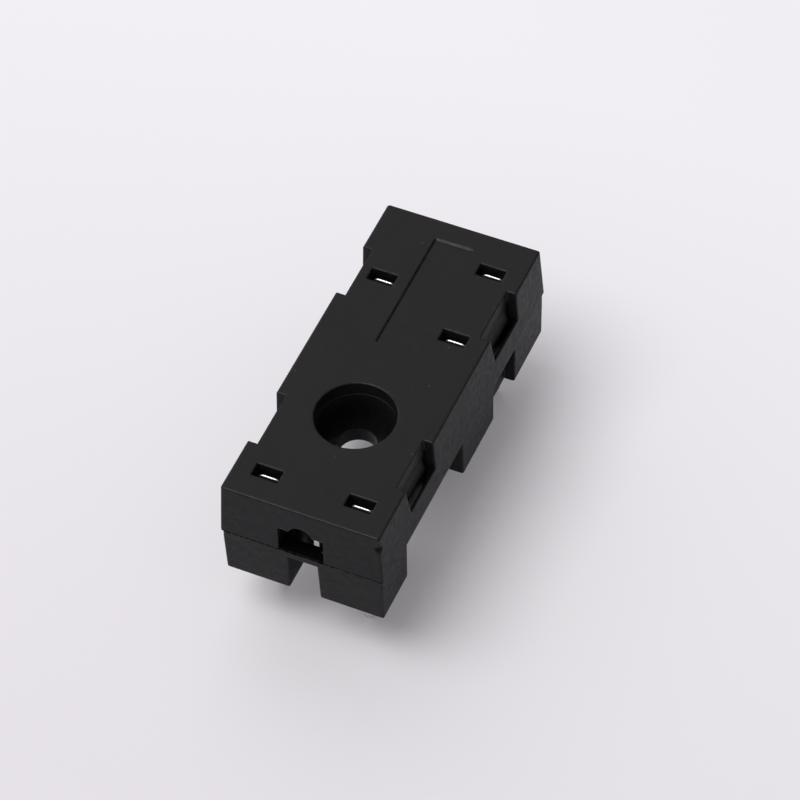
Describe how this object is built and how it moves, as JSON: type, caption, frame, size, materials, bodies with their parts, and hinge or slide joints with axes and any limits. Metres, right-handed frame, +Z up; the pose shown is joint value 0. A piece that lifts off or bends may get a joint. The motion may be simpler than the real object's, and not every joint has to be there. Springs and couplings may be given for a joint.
{
  "type": "relay socket",
  "caption": "Black two-piece socket for a slim plug-in relay, with tinned spring contacts, flat board pins, a recessed screw hole and clip notches in its sides.",
  "frame": {"origin": "under the middle of the housing, on the surface that the pin tips stand on", "axes": "+Z up out of the top face, +Y along the length from the coil end to the switching end, +X across the width, with the common terminal on the -X side"},
  "size_m": [0.0134, 0.0312, 0.0139],
  "materials": {
    "housing_cover": "satin moulded black thermoplastic",
    "housing_base": "fine grained moulded black thermoplastic",
    "tinned_contact": "bright tin plate"
  },
  "bodies": {
    "root": {"cover": "housing_cover", "base": "housing_base", "coil_contact_left": "tinned_contact", "coil_contact_right": "tinned_contact", "common_contact": "tinned_contact", "normally_open_contact": "tinned_contact", "normally_closed_contact": "tinned_contact"}
  },
  "joints": []
}
